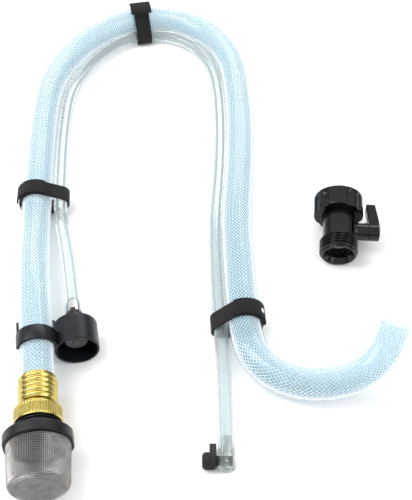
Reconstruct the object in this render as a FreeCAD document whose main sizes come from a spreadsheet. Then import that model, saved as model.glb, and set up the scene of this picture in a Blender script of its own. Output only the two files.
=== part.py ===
"""Gravel vacuum siphon with its air tube, strainer and shut-off valve, lying on a table.

Lengths are in millimetres. Z is up and the table is at Z = 0. Every turned piece is drawn along its own Z axis, from its
lowest end at 0, and is then placed on the object.
"""

import FreeCAD
import Part
import math
import os
import Sketcher
from FreeCAD import Placement, Rotation, Vector

# ---------------------------------------------------------------- driving dimensions

DIMENSIONS = {
    # hose and air tube
    "hose_radius": 11.0,
    "hose_bore": 8.0,
    "tube_radius": 5.0,
    "tube_bore": 3.5,
    "bend_centre_x": -42.3,
    "bend_centre_y": 143.2,
    # brass hose coupling and its swivel nut
    "ferrule_length": 18.6,
    "ferrule_base": 1.0,
    "ferrule_radius": 11.5,
    "ferrule_ridge": 2.4,
    "stem_bore": 6.3,
    "stem_radius": 7.7,
    "stem_barb": 8.1,
    "stem_neck": 9.2,
    "stem_flange": 12.6,
    "nut_start": 1.5,
    "nut_length": 12.0,
    "nut_radius": 14.8,
    "nut_bore": 13.6,
    "nut_ledge": 2.1,
    "nut_chamfer": 1.4,
    "knurl_radius": 0.8,
    "knurl_count": 30,
    "thread_radius": 13.4,
    "thread_root": 12.2,
    "thread_pitch": 2.209,
    "washer_radius": 13.55,
    "washer_bore": 8.6,
    "washer_thickness": 2.6,
    "washer_room": 13.9,
    "valve_washer_radius": 13.8,
    "valve_washer_start": 4.4,
    # strainer
    "strainer_bore": 9.4,
    "strainer_neck": 12.9,
    "flange_radius": 21.3,
    "flange_thickness": 7.3,
    "flange_round": 1.2,
    "flange_groove": 2.6,
    "mesh_radius": 19.0,
    "mesh_end_radius": 18.0,
    "mesh_thickness": 0.8,
    "mesh_length": 30.4,
    "mesh_corner": 4.5,
    "mesh_ring_bore": 17.0,
    "mesh_ring_length": 3.0,
    # priming cap with its hose clip, valve disc and barb
    "cap_radius": 14.4,
    "cap_bore": 12.7,
    "cap_length": 20.5,
    "cap_floor": 2.5,
    "cap_boss_radius": 6.5,
    "cap_boss_length": 7.0,
    "cap_boss_bore": 3.4,
    "clip_thickness": 2.0,
    "clip_width": 11.0,
    "clip_clearance": 0.15,
    "clip_across": 24.65,
    "clip_rise": 6.9,
    "barb_shank": 3.3,
    "barb_radius": 3.95,
    "barb_bore": 2.0,
    "barb_length": 13.5,
    "seat_radius": 7.0,
    "seat_height": 14.0,
    "disc_radius": 7.4,
    "disc_thickness": 2.2,
    "clamp_bore": 5.05,
    "clamp_radius": 5.65,
    "clamp_width": 7.0,
    "clamp_ear": 2.2,
    # hook-and-loop straps
    "strap_width": 12.7,
    "strap_thickness": 1.6,
    "strap_ease": 0.2,
    "left_across": 16.75,
    "left_drop": 0.8,
    "top_across": 15.26,
    "top_drop": 6.0,
    "right_across": 15.2,
    "right_drop": 6.0,
    # air tap
    "tap_radius": 5.1,
    "tap_length": 12.5,
    "tap_spigot": 9.0,
    "tap_bore": 2.0,
    "tap_plug_height": 7.0,
    "plug_radius": 3.0,
    "plug_fit": 0.05,
    "plug_depth": 3.6,
    "plug_reach": 6.0,
    "knob_radius": 5.3,
    "knob_length": 8.8,
    "knob_chamfer": 1.4,
    "pointer_width": 4.2,
    "pointer_height": 3.6,
    "pointer_reach": 11.3,
    # garden-hose shut-off valve
    "valve_nut_radius": 17.6,
    "valve_nut_bore": 13.6,
    "valve_nut_length": 15.5,
    "valve_nut_ledge": 9.9,
    "valve_nut_skirt": 11.4,
    "flute_radius": 4.6,
    "flute_centre": 20.7,
    "flute_start": 2.2,
    "tail_flange": 12.9,
    "tail_radius": 9.5,
    "tail_bore": 6.6,
    "valve_radius": 11.0,
    "valve_start": 11.3,
    "valve_length": 48.5,
    "valve_shoulder": 35.3,
    "valve_outlet_bore": 9.6,
    "valve_waterway": 6.0,
    "ball_radius": 9.0,
    "ball_height": 27.5,
    "seat_thickness": 3.4,
    "bonnet_radius": 6.15,
    "bonnet_reach": 21.0,
    "valve_stem_radius": 3.0,
    "valve_stem_fit": 0.06,
    "handle_thickness": 7.3,
    "handle_tip_width": 10.0,
    "handle_reach": 21.0,
    "handle_lean": 2.0,
    "stop_radius": 1.2,
}

doc = FreeCAD.newDocument("gravel_vacuum_siphon")
sheet = doc.addObject("Spreadsheet::Sheet", "Sizes")
for row, (alias, number) in enumerate(DIMENSIONS.items(), start=1):
    sheet.set(f"A{row}", alias)
    sheet.set(f"B{row}", str(number))
    sheet.setAlias(f"B{row}", alias)
doc.recompute()


class Size:
    """A number together with the spreadsheet expression that it comes from."""

    def __init__(self, value, text):
        self.value = value
        self.text = text

    @staticmethod
    def of(other):
        """Takes a plain number as a size of its own."""
        if isinstance(other, Size):
            return other
        return Size(float(other), f"{float(other):.6g}")

    def __add__(self, other):
        other = Size.of(other)
        return Size(self.value + other.value, f"({self.text} + {other.text})")

    def __sub__(self, other):
        other = Size.of(other)
        return Size(self.value - other.value, f"({self.text} - {other.text})")

    def __mul__(self, other):
        other = Size.of(other)
        return Size(self.value * other.value, f"({self.text} * {other.text})")

    def __truediv__(self, other):
        other = Size.of(other)
        return Size(self.value / other.value, f"({self.text} / {other.text})")

    def __rsub__(self, other):
        return Size.of(other) - self

    def __neg__(self):
        return Size(-self.value, f"(-{self.text})")

    __radd__ = __add__
    __rmul__ = __mul__


class Sheet:
    """Reads each alias of the spreadsheet as a Size, such as dim.hose_radius."""

    def __getattr__(self, alias):
        return Size(float(sheet.get(alias)), f"Sizes.{alias}")


dim = Sheet()
NODES = []


def bind(thing, prop, size):
    """Sets one property of an object from the spreadsheet."""
    thing.setExpression(prop, Size.of(size).text)


def keep(thing, placement=None):
    """Keeps an object as a sub-part and places it. Its Label names its file."""
    if placement is not None:
        thing.Placement = placement
    NODES.append(thing)
    return thing


# ---------------------------------------------------------------- places on the object


def along(origin, axis, distance=0.0, up=Vector(0, 0, 1)):
    """The placement of a piece whose Z axis points along axis and whose Y axis is as near to up as it can be."""
    axis = Vector(axis).normalize()
    side = Vector(up).cross(axis).normalize()
    return Placement(origin + axis * distance, Rotation(side, axis.cross(side), axis, "ZYX"))


def shifted(placement, x=0.0, y=0.0, z=0.0):
    """A placement moved along its own axes."""
    return placement.multiply(Placement(Vector(x, y, z), Rotation()))


def bend_frame(points):
    """Turns route points, measured from the centre of the hose's bend, into points on the table."""
    return [
        Vector(x + dim.bend_centre_x.value, y + dim.bend_centre_y.value, z)
        for x, y, z in points
    ]


HOSE_ROUTE = bend_frame([
    (-51.8, -318.0, 21.3),
    (-56.2, -282.2, 21.3),
    (-65.8, -223.0, 21.3),
    (-71.5, -170.0, 13.0),
    (-75.7, -110.0, 12.8),
    (-78.4, -50.0, 12.8),
    (-77.2, -9.0, 12.8),
    (-64.5, 27.0, 12.8),
    (-45.5, 54.0, 12.8),
    (-22.0, 72.0, 12.8),
    (8.0, 77.8, 12.8),
    (37.5, 69.0, 12.8),
    (59.5, 47.5, 12.8),
    (71.5, 18.0, 12.8),
    (75.8, -18.0, 12.8),
    (76.8, -64.0, 12.8),
    (75.0, -112.0, 12.8),
    (71.3, -160.0, 12.8),
    (73.2, -220.0, 12.8),
    (76.0, -266.0, 12.8),
    (85.0, -283.8, 12.8),
    (99.5, -294.8, 12.8),
    (116.5, -298.8, 12.8),
    (133.0, -297.2, 13.2),
    (147.0, -293.5, 15.5),
    (158.5, -286.5, 21.0),
    (165.3, -278.3, 29.0),
    (168.5, -270.5, 39.0),
])

TUBE_ROUTE = bend_frame([
    (-36.9, -247.4, 14.4),
    (-41.7, -217.8, 14.4),
    (-47.8, -187.0, 13.8),
    (-55.2, -157.0, 12.8),
    (-59.1, -115.0, 11.2),
    (-62.4, -60.0, 8.4),
    (-62.0, -12.0, 6.8),
    (-50.8, 19.9, 6.8),
    (-34.3, 43.3, 6.8),
    (-15.6, 57.7, 6.8),
    (7.2, 62.1, 6.8),
    (29.5, 55.4, 6.8),
    (46.5, 38.8, 6.8),
    (56.6, 14.1, 6.8),
    (60.5, -19.1, 6.8),
    (61.5, -63.9, 6.8),
    (59.7, -111.1, 6.8),
    (56.0, -159.7, 6.8),
    (58.0, -222.0, 6.8),
    (60.6, -262.0, 6.6),
    (61.9, -303.0, 5.9),
    (62.3, -340.6, 5.4),
])


def route_wire(points):
    """Straight runs joined by tangent arcs, each as large as its two runs allow. Also gives the radii."""
    edges = []
    radii = []
    start = points[0]
    for before, corner, after in zip(points, points[1:], points[2:]):
        back = (before - corner).normalize()
        ahead = (after - corner).normalize()
        trim = 0.45 * min(corner.distanceToPoint(before), corner.distanceToPoint(after))
        turn = math.pi - back.getAngle(ahead)
        radius = trim / math.tan(turn / 2)
        inward = (back + ahead).normalize()
        centre = corner + inward * (radius / math.cos(turn / 2))
        arc_start = corner + back * trim
        arc_end = corner + ahead * trim
        edges.append(Part.LineSegment(start, arc_start).toShape())
        edges.append(Part.Arc(arc_start, centre - inward * radius, arc_end).toShape())
        radii.append(radius)
        start = arc_end
    edges.append(Part.LineSegment(start, points[-1]).toShape())
    return Part.Wire(edges), radii


def hollow_tube(label, points, radius, bore):
    """A tube swept along its route."""
    path, radii = route_wire(points)
    heading = points[1] - points[0]
    ring = Part.Face([
        Part.Wire(Part.makeCircle(radius, points[0], heading)),
        Part.Wire(Part.makeCircle(bore, points[0], heading)),
    ])
    ring.validate()
    tube = doc.addObject("Part::Feature", label)
    tube.Shape = path.makePipe(ring)
    expected = math.pi * (radius**2 - bore**2) * path.Length
    print(label, "length", round(path.Length, 1), "volume ratio", round(tube.Shape.Volume / expected, 4))
    print(label, "radii", [round(r) for r in radii])
    return keep(tube)


def on_run(points, index, fraction):
    """The point at a fraction of one run of a route, and the direction of that run."""
    start, end = points[index], points[index + 1]
    return start + (end - start) * fraction, (end - start).normalize()


# ---------------------------------------------------------------- drawing helpers


def origin_plane(body, role):
    """One of a body's own origin planes or axes."""
    return next(item for item in body.Origin.OriginFeatures if item.Role == role)


def new_body(label):
    """A PartDesign body with its Label."""
    body = doc.addObject("PartDesign::Body", label)
    body.Label = label
    return body


def new_sketch(body, name, role="XZ_Plane", offset=None):
    """A sketch on one of the body's origin planes, lifted off it by offset."""
    sketch = body.newObject("Sketcher::SketchObject", f"{body.Name}_{name}")
    sketch.AttachmentSupport = (origin_plane(body, role), [""])
    sketch.MapMode = "FlatFace"
    if offset is not None:
        bind(sketch, "AttachmentOffset.Base.z", offset)
    return sketch


def pin_point(sketch, geometry, end, x, y):
    """Holds one end of a sketch element at x, y, measured from the sketch's origin."""
    for kind, axis, size in (("DistanceX", -2, Size.of(x)), ("DistanceY", -1, Size.of(y))):
        if abs(size.value) < 1e-9:
            sketch.addConstraint(Sketcher.Constraint("PointOnObject", geometry, end, axis))
        else:
            held = sketch.addConstraint(Sketcher.Constraint(kind, -1, 1, geometry, end, size.value))
            sketch.setExpression(f"Constraints[{held}]", size.text)


def hold_radius(sketch, geometry, radius):
    """Binds the radius of an arc or a circle."""
    radius = Size.of(radius)
    held = sketch.addConstraint(Sketcher.Constraint("Radius", geometry, radius.value))
    sketch.setExpression(f"Constraints[{held}]", radius.text)


def bulged(start, end, radius, outward):
    """The arc of one radius from start to end that stands out on the given side."""
    chord = end - start
    reach = chord.Length / 2
    normal = Vector(chord.y, -chord.x, 0).normalize() * outward
    centre = (start + end) * 0.5 - normal * math.sqrt(radius**2 - reach**2)
    return Part.Arc(start, centre + normal * radius, end)


def outline(sketch, points):
    """Draws a closed outline. A point is (x, y), or (x, y, radius, side) where an arc leads on to the next point."""
    spots = [Vector(Size.of(p[0]).value, Size.of(p[1]).value, 0) for p in points]
    ends = []
    for i, point in enumerate(points):
        start, end = spots[i], spots[(i + 1) % len(spots)]
        if len(point) == 2:
            edge = sketch.addGeometry(Part.LineSegment(start, end))
            ends.append((edge, 1, 2))
        else:
            arc = bulged(start, end, Size.of(point[2]).value, point[3])
            edge = sketch.addGeometry(arc)
            first = sketch.Geometry[edge].StartPoint
            forward = first.distanceToPoint(start) < first.distanceToPoint(end)
            ends.append((edge, 1, 2) if forward else (edge, 2, 1))
            hold_radius(sketch, edge, point[2])
    for i, point in enumerate(points):
        edge, first, _ = ends[i]
        before, _, last = ends[i - 1]
        sketch.addConstraint(Sketcher.Constraint("Coincident", before, last, edge, first))
        pin_point(sketch, edge, first, point[0], point[1])


def ring_sector(sketch, centre, inner, outer, start, end):
    """Draws a band of a ring between two angles in degrees."""
    middle = Vector(Size.of(centre[0]).value, Size.of(centre[1]).value, 0)
    first, last = math.radians(start), math.radians(end)
    arcs = []
    for radius in (inner, outer):
        circle = Part.Circle(middle, Vector(0, 0, 1), Size.of(radius).value)
        arc = sketch.addGeometry(Part.ArcOfCircle(circle, first, last))
        pin_point(sketch, arc, 3, *centre)
        hold_radius(sketch, arc, radius)
        arcs.append(arc)
    for side in (1, 2):
        ends = [sketch.getPoint(arc, side) for arc in arcs]
        line = sketch.addGeometry(Part.LineSegment(*ends))
        for which, arc in enumerate(arcs, start=1):
            sketch.addConstraint(Sketcher.Constraint("Coincident", line, which, arc, side))
        along_x = math.isclose(math.sin(math.radians((start, end)[side - 1])), 0, abs_tol=1e-9)
        if along_x:
            sketch.addConstraint(Sketcher.Constraint("Horizontal", line))
        else:
            angle = math.radians((start, end)[side - 1])
            sketch.addConstraint(Sketcher.Constraint("Angle", line, angle))


def belt_loop(sketch, big, small, across, drop):
    """Draws the loop of a belt round two circles: one at the origin, one at (across, -drop)."""
    big, small, across, drop = (Size.of(v) for v in (big, small, across, drop))
    span = math.hypot(across.value, drop.value)
    lean = math.atan2(-drop.value, across.value)
    spread = math.acos((big.value - small.value) / span)
    far = Vector(across.value, -drop.value, 0)
    up = Vector(0, 0, 1)
    home = Part.Circle(Vector(), up, big.value)
    away = Part.Circle(far, up, small.value)
    large = sketch.addGeometry(Part.ArcOfCircle(home, lean + spread, lean - spread + 2 * math.pi))
    little = sketch.addGeometry(Part.ArcOfCircle(away, lean - spread, lean + spread))
    lower = sketch.addGeometry(Part.LineSegment(sketch.getPoint(large, 2), sketch.getPoint(little, 1)))
    upper = sketch.addGeometry(Part.LineSegment(sketch.getPoint(little, 2), sketch.getPoint(large, 1)))
    pin_point(sketch, large, 3, 0, 0)
    pin_point(sketch, little, 3, across, -drop)
    hold_radius(sketch, large, big)
    hold_radius(sketch, little, small)
    sketch.addConstraint(Sketcher.Constraint("Tangent", large, 2, lower, 1))
    sketch.addConstraint(Sketcher.Constraint("Tangent", lower, 2, little, 1))
    sketch.addConstraint(Sketcher.Constraint("Tangent", little, 2, upper, 1))
    sketch.addConstraint(Sketcher.Constraint("Tangent", upper, 2, large, 1))


def circle_at(sketch, x, y, radius):
    """Draws a circle whose centre and radius are bound."""
    centre = Vector(Size.of(x).value, Size.of(y).value, 0)
    ring = sketch.addGeometry(Part.Circle(centre, Vector(0, 0, 1), Size.of(radius).value))
    pin_point(sketch, ring, 3, x, y)
    hold_radius(sketch, ring, radius)


def revolve(body, points, name="profile"):
    """Turns an outline of (radius, height) points round the body's Z axis."""
    sketch = new_sketch(body, name)
    outline(sketch, points)
    turned = body.newObject("PartDesign::Revolution", f"{body.Name}_{name}_turned")
    turned.Profile = sketch
    turned.ReferenceAxis = (sketch, ["V_Axis"])
    turned.Angle = 360.0
    sketch.Visibility = False
    return turned


def pad(body, sketch, length, both_ways=False):
    """Pads a sketch along its normal, or by half its length each way."""
    feature = body.newObject("PartDesign::Pad", f"{sketch.Name}_pad")
    feature.Profile = sketch
    bind(feature, "Length", length)
    feature.Midplane = both_ways
    return feature


def pocket(body, sketch, length, both_ways=False, reverse=False):
    """Cuts a sketch out of the body and makes sure that something was cut."""
    doc.recompute()
    before = body.Shape.Volume
    feature = body.newObject("PartDesign::Pocket", f"{sketch.Name}_cut")
    feature.Profile = sketch
    bind(feature, "Length", length)
    feature.Midplane = both_ways
    feature.Reversed = reverse
    doc.recompute()
    if body.Shape.Volume > before - 0.01:
        raise RuntimeError(f"{feature.Name} cuts nothing")
    return feature


def polar(body, feature, count):
    """Repeats a feature round the body's Z axis."""
    pattern = body.newObject("PartDesign::PolarPattern", f"{feature.Name}_pattern")
    pattern.Originals = [feature]
    pattern.Axis = (origin_plane(body, "Z_Axis"), [""])
    pattern.Angle = 360
    bind(pattern, "Occurrences", count)
    body.Tip = pattern
    return pattern


def turned_piece(label, points, placement):
    """A piece made by one turning."""
    body = new_body(label)
    revolve(body, points)
    return keep(body, placement)


def thread_points(root, crest, start, pitch, count, flat=0.32):
    """The outline of a row of thread ridges, from start upwards."""
    points = []
    for ridge in range(count):
        low = start + pitch * ridge
        points.append((root, low))
        points.append((crest, low + pitch * flat))
        points.append((crest, low + pitch * (1 - flat) - pitch * 0.1))
    return points


# ---------------------------------------------------------------- hose and air tube


def make_tubes():
    """The braided hose and the air tube that runs along it."""
    hollow_tube("main_hose", HOSE_ROUTE, dim.hose_radius.value, dim.hose_bore.value)
    hollow_tube("air_tube", TUBE_ROUTE, dim.tube_radius.value, dim.tube_bore.value)


# ---------------------------------------------------------------- coupling

RUN_ALONG_COUPLING = (HOSE_ROUTE[0] - HOSE_ROUTE[1]).normalize()
COUPLING = along(HOSE_ROUTE[0], RUN_ALONG_COUPLING, dim.ferrule_base.value)


def make_ferrule():
    """The crimped brass ferrule over the hose's end, with five rolled ridges."""
    base, length = dim.ferrule_base, dim.ferrule_length
    ridges = 5
    pitch = (length - 1.0) / ridges
    points = [(dim.stem_radius + 0.1, 0), (dim.ferrule_radius, 0)]
    for ridge in range(ridges):
        low = pitch * ridge + 0.5
        points.append((dim.ferrule_radius, low, dim.ferrule_ridge, 1))
        points.append((dim.ferrule_radius, low + pitch * 0.86))
    points.append((dim.ferrule_radius, length))
    points.append((dim.hose_radius, length))
    points.append((dim.hose_radius, base))
    points.append((dim.stem_radius + 0.1, base))
    turned_piece("brass_ferrule", points, shifted(along(COUPLING.Base, -RUN_ALONG_COUPLING)))


def make_stem():
    """The barbed brass stem inside the hose, with the flange that the nut pulls on."""
    inner, outer, barb = dim.stem_bore, dim.stem_radius, dim.stem_barb
    neck_end = dim.nut_start + dim.nut_ledge + 0.15
    reach = dim.ferrule_length
    points = [(inner, 0), (outer - 0.4, 0)]
    for ring in range(4):
        low = ring * 4.2
        points.append((barb, low + 2.2))
        points.append((outer, low + 2.6))
    points.append((outer, reach))
    points.append((dim.stem_neck, reach))
    points.append((dim.stem_neck, reach + neck_end))
    points.append((dim.stem_flange, reach + neck_end))
    points.append((dim.stem_flange, reach + neck_end + 1.4))
    points.append((inner, reach + neck_end + 1.4))
    turned_piece("brass_hose_stem", points, shifted(COUPLING, z=-reach.value))


def make_swivel_nut():
    """The knurled brass nut, whose ledge turns behind the stem's flange, and its rubber washer."""
    body = new_body("swivel_nut")
    length, radius, soft = dim.nut_length, dim.nut_radius, dim.nut_chamfer
    revolve(body, [
        (dim.stem_neck + 0.1, 0),
        (radius - 2.2, 0, 2.6, 1),
        (radius, 2.2),
        (radius, length - soft),
        (radius - soft * 0.5, length),
        (dim.nut_bore, length),
        (dim.nut_bore, dim.nut_ledge),
        (dim.stem_neck + 0.1, dim.nut_ledge),
    ])
    sketch = new_sketch(body, "knurl", "XY_Plane", offset=3.0)
    circle_at(sketch, radius + dim.knurl_radius * 0.5, 0, dim.knurl_radius)
    cut = pocket(body, sketch, 6.0, reverse=True)
    polar(body, cut, dim.knurl_count)
    keep(body, shifted(COUPLING, z=dim.nut_start.value))
    washer_base = dim.nut_start + dim.nut_ledge + 1.7
    turned_piece(
        "hose_washer",
        [
            (dim.washer_bore, 0),
            (dim.washer_radius, 0),
            (dim.washer_radius, dim.washer_thickness),
            (dim.washer_bore, dim.washer_thickness),
        ],
        shifted(COUPLING, z=washer_base.value),
    )
    return washer_base + dim.washer_thickness + 0.1


# ---------------------------------------------------------------- strainer


def make_strainer(thread_start):
    """The strainer's threaded base, its woven cup and the ring that holds the cup's rim."""
    place = shifted(COUPLING, z=thread_start.value)
    neck, thick = dim.strainer_neck, dim.flange_thickness
    radius, soft = dim.flange_radius, dim.flange_round
    groove = neck + thick - dim.flange_groove
    ridges = thread_points(dim.thread_root, dim.thread_radius, 0.4, dim.thread_pitch, 5)
    base = new_body("strainer_base")
    revolve(base, [
        (dim.strainer_bore, 0),
        (dim.thread_root, 0),
        *ridges,
        (dim.thread_root, neck - 1.2),
        (dim.thread_root + 1.2, neck),
        (radius - soft, neck, soft, 1),
        (radius, neck + soft),
        (radius, neck + thick - soft, soft, 1),
        (radius - soft, neck + thick),
        (dim.mesh_radius + 0.1, neck + thick),
        (dim.mesh_radius + 0.1, groove),
        (dim.strainer_bore, groove),
    ])
    keep(base, place)
    rim = shifted(place, z=groove.value)
    length, wall, corner = dim.mesh_length, dim.mesh_thickness, dim.mesh_corner
    outer, end = dim.mesh_radius, dim.mesh_end_radius
    turned_piece(
        "strainer_mesh",
        [
            (outer - wall, 0),
            (outer, 0),
            (end, length - corner, corner, 1),
            (end - corner, length),
            (0, length),
            (0, length - wall),
            (end - corner, length - wall, corner - wall, -1),
            (end - wall, length - corner),
        ],
        rim,
    )
    turned_piece(
        "strainer_mesh_ring",
        [
            (dim.mesh_ring_bore, 0),
            (outer - wall - 0.15, 0),
            (outer - wall - 0.15, dim.mesh_ring_length),
            (dim.mesh_ring_bore, dim.mesh_ring_length),
        ],
        rim,
    )


# ---------------------------------------------------------------- priming cap

CAP_AXIS = (TUBE_ROUTE[0] - TUBE_ROUTE[1]).normalize()
CAP = along(TUBE_ROUTE[0], CAP_AXIS)


def make_priming_cap():
    """The cap with the boss for its barb, and two staggered claws that snap round the hose."""
    body = new_body("priming_cap")
    boss, radius = dim.cap_boss_length, dim.cap_radius
    mouth = boss + dim.cap_length
    revolve(body, [
        (dim.cap_boss_bore, 0),
        (dim.cap_boss_radius, 0),
        (dim.cap_boss_radius, boss),
        (radius - 1.6, boss, 1.6, 1),
        (radius, boss + 1.6),
        (radius, mouth),
        (dim.cap_bore + 0.5, mouth),
        (dim.cap_bore, mouth - 0.8),
        (dim.cap_bore, boss + dim.cap_floor),
        (dim.cap_boss_bore, boss + dim.cap_floor),
    ])
    hose = (-dim.clip_across, dim.clip_rise)
    inner = dim.hose_radius + dim.clip_clearance
    outer = inner + dim.clip_thickness
    claws = (("top_claw", mouth - dim.clip_width, -32, 172), ("under_claw", boss - 5.0, 188, 340))
    for name, height, start, end in claws:
        sketch = new_sketch(body, name, "XY_Plane", offset=height)
        ring_sector(sketch, hose, inner, outer, start, end)
        pad(body, sketch, dim.clip_width)
    keep(body, CAP)


def make_cap_fittings():
    """The barb through the boss with its valve seat, the rubber valve disc and the ear clamp on the air tube."""
    bore, shank, barb = dim.barb_bore, dim.barb_shank, dim.barb_radius
    reach = dim.barb_length
    floor_top = reach + dim.cap_boss_length + dim.cap_floor
    seat = floor_top + dim.seat_height - dim.cap_floor - 3.4
    points = [(bore, 0), (shank - 0.5, 0)]
    for ring in range(3):
        low = ring * 4.0
        points.append((barb, low + 2.4))
        points.append((shank, low + 2.8))
    turned_piece(
        "cap_barb_fitting",
        [
            *points,
            (shank, floor_top + 0.1),
            (shank + 1.7, floor_top + 0.1),
            (shank + 1.7, seat),
            (dim.seat_radius, seat),
            (dim.seat_radius, seat + 1.6),
            (bore, seat + 1.6),
        ],
        shifted(CAP, z=-reach.value),
    )
    disc = seat + 1.7
    turned_piece(
        "cap_valve_disc",
        [
            (0, 0),
            (dim.disc_radius, 0),
            (dim.disc_radius, 0.8),
            (dim.disc_radius - 1.2, dim.disc_thickness),
            (0, dim.disc_thickness),
        ],
        shifted(CAP, z=(disc - reach).value),
    )
    clamp = new_body("tube_ear_clamp")
    revolve(clamp, [
        (dim.clamp_bore, 0),
        (dim.clamp_radius, 0),
        (dim.clamp_radius, dim.clamp_width),
        (dim.clamp_bore, dim.clamp_width),
    ])
    ear = new_sketch(clamp, "ear", "XY_Plane")
    top = dim.clamp_radius + dim.clamp_ear
    outline(ear, [
        (-2.3, dim.clamp_radius - 0.45),
        (2.3, dim.clamp_radius - 0.45),
        (2.6, top),
        (-2.6, top),
    ])
    pad(clamp, ear, dim.clamp_width)
    keep(clamp, shifted(CAP, z=-8.6))


# ---------------------------------------------------------------- straps


def make_strap(label, run, fraction, across, drop, tail):
    """One hook-and-loop strap round the hose and the air tube, with its tail lying on the first layer."""
    body = new_body(label)
    thick, ease = dim.strap_thickness, dim.strap_ease
    big, small = dim.hose_radius + ease, dim.tube_radius + ease
    band = new_sketch(body, "band", "XY_Plane")
    belt_loop(band, big, small, across, drop)
    belt_loop(band, big + thick, small + thick, across, drop)
    pad(body, band, dim.strap_width, both_ways=True)
    layer = new_sketch(body, "tail", "XY_Plane")
    ring_sector(layer, (0, 0), big + thick - 0.3, big + thick * 1.8, *tail)
    pad(body, layer, dim.strap_width, both_ways=True)
    place, heading = on_run(HOSE_ROUTE, run, fraction)
    keep(body, along(place, -heading))


def make_straps():
    """The three straps: on the inlet leg, at the top of the bend and on the outlet leg."""
    make_strap("strap_left", 3, 0.5, dim.left_across, dim.left_drop, (95, 205))
    make_strap("strap_top", 9, 0.5, dim.top_across, dim.top_drop, (95, 185))
    make_strap("strap_right", 18, 0.6, dim.right_across, dim.right_drop, (95, 205))


# ---------------------------------------------------------------- air tap

TAP_AXIS = (TUBE_ROUTE[-1] - TUBE_ROUTE[-2]).normalize()
TAP = along(TUBE_ROUTE[-1], TAP_AXIS)


def make_tap_body():
    """The clear tap body: a spigot inside the air tube, a collar, and the cross bore for the plug."""
    body = new_body("air_tap_body")
    spigot, collar = dim.tap_spigot, dim.tap_length
    radius, bore = dim.tap_radius, dim.tap_bore
    root = dim.tube_bore - 0.1
    revolve(body, [
        (bore, 0),
        (root - 0.3, 0),
        (root + 0.4, 2.2),
        (root, 2.6),
        (root + 0.4, 5.2),
        (root, 5.6),
        (root, spigot),
        (radius, spigot),
        (radius, spigot + collar - 0.8),
        (radius - 0.8, spigot + collar),
        (bore, spigot + collar),
    ])
    sketch = new_sketch(body, "cross", "YZ_Plane", offset=dim.plug_depth + 0.1)
    circle_at(sketch, 0, spigot + dim.tap_plug_height, dim.plug_radius + dim.plug_fit)
    pocket(body, sketch, 20.0)
    keep(body, shifted(TAP, z=-spigot.value))


def make_tap_plug():
    """The plug that turns in the tap body, drawn along its own axis from its blind end, with its cross hole."""
    side = Vector(0, 0, 1).cross(TAP_AXIS).normalize()
    centre = TAP.Base + TAP_AXIS * dim.tap_plug_height.value
    place = along(centre + side * dim.plug_depth.value, -side)
    body = new_body("air_tap_plug")
    length = dim.plug_depth + dim.plug_reach
    revolve(body, [(0, 0), (dim.plug_radius, 0), (dim.plug_radius, length), (0, length)])
    sketch = new_sketch(body, "waterway", "XZ_Plane")
    circle_at(sketch, 0, dim.plug_depth, dim.tap_bore)
    pocket(body, sketch, 20.0, both_ways=True)
    keep(body, place)
    knob = new_body("air_tap_knob")
    radius, soft, long = dim.knob_radius, dim.knob_chamfer, dim.knob_length
    revolve(knob, [
        (0, 0),
        (radius - soft, 0),
        (radius, soft),
        (radius, long - soft),
        (radius - soft, long),
        (0, long),
    ])
    pointer = new_sketch(knob, "pointer", "XY_Plane")
    half = dim.pointer_height / 2
    outline(pointer, [
        (-half, 0),
        (half, 0),
        (half, dim.pointer_reach),
        (-half, dim.pointer_reach),
    ])
    pad(knob, pointer, dim.pointer_width)
    turned = along(place.Base, -side, up=-TAP_AXIS)
    keep(knob, shifted(turned, z=length.value))


# ---------------------------------------------------------------- shut-off valve

VALVE_HEADING = 184.1
VALVE_TIP_X = 100.0
VALVE_TIP_Y = -51.4


def valve_place():
    """The valve rests on its nut's rim and on its last thread ridge, so its axis leans down to the outlet."""
    nut_rim = dim.valve_nut_length.value - 1.0
    thread_end = dim.valve_length.value - 0.7
    lean = math.atan2(dim.valve_nut_radius.value - dim.thread_radius.value, thread_end - nut_rim)
    heading = math.radians(VALVE_HEADING)
    axis = Vector(
        math.sin(heading) * math.cos(lean),
        math.cos(heading) * math.cos(lean),
        -math.sin(lean),
    )
    height = dim.valve_nut_radius.value * math.cos(lean) + nut_rim * math.sin(lean)
    tip = Vector(VALVE_TIP_X, VALVE_TIP_Y, 0)
    start = tip - Vector(axis.x, axis.y, 0) * dim.valve_length.value
    start.z = height
    return along(start, axis)


VALVE = valve_place()


def make_valve_nut():
    """The fluted swivel nut with eight concave flutes in four pairs, and its rubber washer."""
    body = new_body("valve_nut")
    radius, length = dim.valve_nut_radius, dim.valve_nut_length
    revolve(body, [
        (dim.valve_nut_bore, 0),
        (radius - 1.2, 0),
        (radius, 1.2),
        (radius, length - 1.6),
        (radius - 1.6, length),
        (dim.valve_nut_skirt, length),
        (dim.valve_nut_skirt, 11.0),
        (dim.valve_nut_ledge, 11.0),
        (dim.valve_nut_ledge, 9.0),
        (dim.washer_room, 9.0),
        (dim.washer_room, dim.valve_washer_start),
        (dim.valve_nut_bore, dim.valve_washer_start),
    ])
    sketch = new_sketch(body, "flutes", "XY_Plane", offset=dim.flute_start)
    for angle in (68.4, 38.4):
        turn = math.radians(angle)
        x = dim.flute_centre * math.cos(turn)
        y = dim.flute_centre * math.sin(turn)
        circle_at(sketch, x, y, dim.flute_radius)
    cut = pocket(body, sketch, length, reverse=True)
    polar(body, cut, Size.of(4))
    keep(body, VALVE)
    turned_piece(
        "valve_nut_washer",
        [
            (dim.washer_bore, 0),
            (dim.valve_washer_radius, 0),
            (dim.valve_washer_radius, dim.washer_thickness),
            (dim.washer_bore, dim.washer_thickness),
        ],
        shifted(VALVE, z=dim.valve_washer_start.value),
    )


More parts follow.
